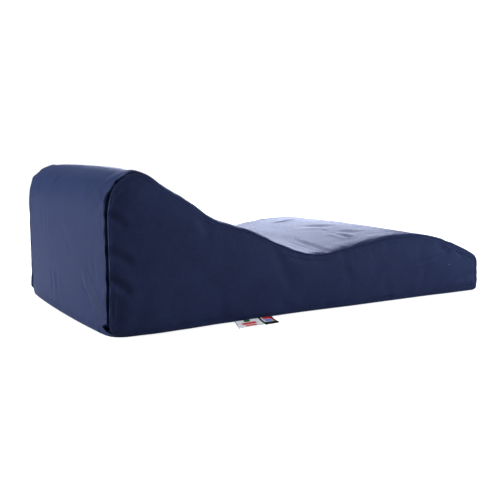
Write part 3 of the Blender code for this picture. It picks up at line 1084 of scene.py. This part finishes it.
def ribbon_material(label, length, ground, edge, edge_width, turn_width, bars):
    """Woven ribbon: a ground, plain woven bars on the top layer, and edge and fold bands in the edge
    colour. On the edged label that colour is its woven black border; on the pale one it is painted shade
    of the ribbon's edge thickness.
    """
    recipe = Recipe(label.name + "_weave")
    place = recipe.put("UVMap", uv_map="cloth").outputs[0]
    parts = recipe.put("SeparateXYZ", place).outputs
    across, down = parts[0], parts[1]
    width = label.end - label.start
    ribs = recipe.math("SINE", recipe.math("MULTIPLY", down, 2 * math.pi / (0.42 * MM)))
    warp = recipe.math("SINE", recipe.math("MULTIPLY", across, 2 * math.pi / (0.36 * MM)))
    weave = recipe.math("MULTIPLY", ribs, warp)
    fuzz = recipe.noise(place, 700, 3, 0.6)
    stain = recipe.noise(place, 90, 2, 0.5)
    shade = recipe.math("ADD", recipe.fit(weave, -1.0, 1.0, 0.0, 0.45),
                        recipe.fit(fuzz, 0.3, 0.7, 0.0, 0.3))
    shade = recipe.math("ADD", shade, recipe.fit(stain, 0.3, 0.7, 0.0, 0.25))
    colour = recipe.mix(shade, [part * 0.8 for part in ground[:3]] + [1], ground)
    for colour_of_bar, left, right, near, far in bars:
        inside = recipe.math(
            "MULTIPLY",
            band(recipe, across, left * width, right * width),
            band(recipe, down, length - far * label.reach, length - near * label.reach),
        )
        colour = recipe.mix(inside, colour, colour_of_bar)
    # Edge and fold bands. On the edged label they are its woven black border. On the pale label they are a
    # thin brownish painted shade that stands for the shadowed edge thickness and fold.
    rim = recipe.math("SUBTRACT", 1.0, band(recipe, across, edge_width, width - edge_width))
    turn = band(recipe, down, length / 2 - turn_width, length / 2 + turn_width)
    colour = recipe.mix(recipe.math("MAXIMUM", rim, turn), colour, edge)
    recipe.link(colour, "Base Color")
    recipe.link(recipe.fit(fuzz, 0.3, 0.7, 0.42, 0.56), "Roughness")
    fine = recipe.bump(fuzz, 0.4, 0.15 * MM)
    recipe.link(recipe.bump(weave, 0.6, 0.07 * MM, fine), "Normal")
    recipe.set("Specular IOR Level", 0.1)
    return recipe.material


def floor_material():
    recipe = Recipe("pale_floor")
    place = recipe.put("TexCoord").outputs["Object"]
    share = recipe.noise(place, 6, 3, 0.5)
    recipe.link(recipe.mix(share, (0.4, 0.405, 0.41, 1), (0.44, 0.44, 0.44, 1)), "Base Color")
    recipe.set("Roughness", 0.75)
    recipe.set("Specular IOR Level", 0.1)
    recipe.set("Emission Color", (1, 1, 1, 1))
    seen = recipe.put("LightPath").outputs["Is Camera Ray"]
    recipe.link(recipe.fit(seen, 0.0, 1.0, FLOOR_GLOW, FLOOR_SEEN_GLOW), "Emission Strength")
    return recipe.material


# Stage


def add_floor():
    angles = np.linspace(0, 2 * np.pi, FLOOR_SIDES, endpoint=False)
    points = np.stack([np.cos(angles), np.sin(angles), np.zeros(FLOOR_SIDES)], 1) * FLOOR_RADIUS
    mesh = bpy.data.meshes.new("floor")
    mesh.from_pydata(points.tolist(), [], [tuple(range(FLOOR_SIDES))])
    mesh.update()
    floor = add_piece("floor", mesh)
    floor.data.materials.append(floor_material())


def add_area_light(name, place, aim, size, energy, colour=(1, 1, 1)):
    data = bpy.data.lights.new(name, "AREA")
    data.shape = "DISK"
    data.size = size
    data.energy = energy
    data.color = colour
    light = bpy.data.objects.new(name, data)
    light.location = place
    light.visible_camera = False
    light.rotation_euler = (Vector(aim) - Vector(place)).to_track_quat("-Z", "Y").to_euler()
    bpy.context.scene.collection.objects.link(light)


def add_world():
    world = bpy.data.worlds.new("studio")
    world.use_nodes = True
    tree = world.node_tree
    background = tree.nodes["Background"]
    direction = tree.nodes.new("ShaderNodeTexCoord").outputs["Generated"]
    parts = tree.nodes.new("ShaderNodeSeparateXYZ")
    tree.links.new(direction, parts.inputs[0])
    ramp = tree.nodes.new("ShaderNodeMapRange")
    tree.links.new(parts.outputs["Y"], ramp.inputs["Value"])
    ramp.inputs["From Min"].default_value = -0.6
    ramp.inputs["From Max"].default_value = 0.5
    ramp.inputs["To Min"].default_value = 0.02
    ramp.inputs["To Max"].default_value = 0.06
    ramp.interpolation_type = "SMOOTHSTEP"
    tree.links.new(ramp.outputs[0], background.inputs["Strength"])
    background.inputs["Color"].default_value = (0.97, 0.98, 1.0, 1)
    backdrop = tree.nodes.new("ShaderNodeBackground")
    backdrop.inputs["Color"].default_value = (1, 1, 1, 1)
    backdrop.inputs["Strength"].default_value = 1.05
    seen = tree.nodes.new("ShaderNodeMixShader")
    tree.links.new(tree.nodes.new("ShaderNodeLightPath").outputs["Is Camera Ray"], seen.inputs[0])
    tree.links.new(background.outputs[0], seen.inputs[1])
    tree.links.new(backdrop.outputs[0], seen.inputs[2])
    tree.links.new(seen.outputs[0], tree.nodes["World Output"].inputs["Surface"])
    bpy.context.scene.world = world


def add_camera():
    data = bpy.data.cameras.new("camera")
    data.lens = CAMERA_LENS
    data.sensor_width = 36
    data.clip_start = 0.01
    data.clip_end = 100
    camera = bpy.data.objects.new("camera", data)
    turn = Matrix.Rotation(CAMERA_AZIMUTH, 4, "Z")
    turn @= Matrix.Rotation(math.pi / 2 - CAMERA_ELEVATION, 4, "X")
    turn @= Matrix.Rotation(CAMERA_ROLL, 4, "Z")
    camera.matrix_world = Matrix.Translation(CAMERA_PLACE) @ turn
    bpy.context.scene.collection.objects.link(camera)
    bpy.context.scene.camera = camera


def dress():
    pillow, near_seam, far_seam = build_pillow()
    pillow.data.materials.clear()
    pillow.data.materials.append(cover_material())
    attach(pillow, "root")
    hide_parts("pillow_body")

    stitches = build_stitches((near_seam, far_seam))
    stitches.data.materials.append(thread_material())
    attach(stitches, "root")

    red, green, blue = (0.6, 0.02, 0.015, 1), (0.02, 0.09, 0.035, 1), (0.1, 0.2, 0.62, 1)
    looks = {
        "label_pale": dict(
            ground=(0.88, 0.92, 0.93, 1),
            # Painted shade: this brownish edge colour paints the shadow along the pale ribbon's edges and
            # its fold.
            edge=(0.3, 0.27, 0.25, 1),
            edge_width=0.35 * MM,
            turn_width=0.2 * MM,
            bars=(
                (green, 0.34, 0.6, 0.0, 0.27),
                (red, 0.2, 0.78, 0.35, 0.68),
                (red, 0.27, 0.72, 0.78, 0.97),
            ),
        ),
        "label_edged": dict(
            ground=(0.78, 0.8, 0.82, 1),
            edge=(0.004, 0.0042, 0.0045, 1),
            edge_width=2.5 * MM,
            turn_width=10.5 * MM,
            bars=(
                (red, 0.22, 0.9, 0.0, 0.24),
                (red, 0.78, 0.93, 0.18, 0.62),
                (blue, 0.26, 0.74, 0.27, 0.6),
            ),
        ),
    }
    for label in LABELS:
        piece, length = build_label(label)
        piece.data.materials.append(ribbon_material(label, length, **looks[label.name]))
        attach(piece, "root")
        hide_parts(label.name)


def main():
    add_camera()
    add_floor()
    add_world()
    add_area_light("key", (-1.88, 0.5, 0.3), (-0.3, 0, 0.05), 0.9, 75, (0.88, 0.95, 1))
    add_area_light("high_key", (-1.7, 0.2, 1.3), (-0.3, 0, 0.1), 0.9, 3)
    add_area_light("overhead", (0.1, 0.4, 2.6), (0, 0, 0), 2.4, 64)
    add_area_light("front_top", (0.3, -1.1, 2.4), (0, -0.2, 0), 1.2, 14)
    add_area_light("back", (1.35, 2.25, 0.5), (0, 0, 0.1), 1.5, 68, (0.74, 0.8, 1))
    add_area_light("high_back", (0.9, 2.0, 1.5), (0, 0, 0.1), 1.6, 48, (0.64, 0.72, 1))
    add_area_light("fill", (1.2, -0.85, 0.35), (0.3, 0, 0.05), 0.8, 17, (0.55, 0.74, 1))
    add_area_light("front", (0.2, -0.8, 0.3), (0.15, 0, 0.05), 0.45, 2.0, (1, 0.96, 0.92))
    bpy.context.scene.view_settings.view_transform = "Standard"
    dress()


main()
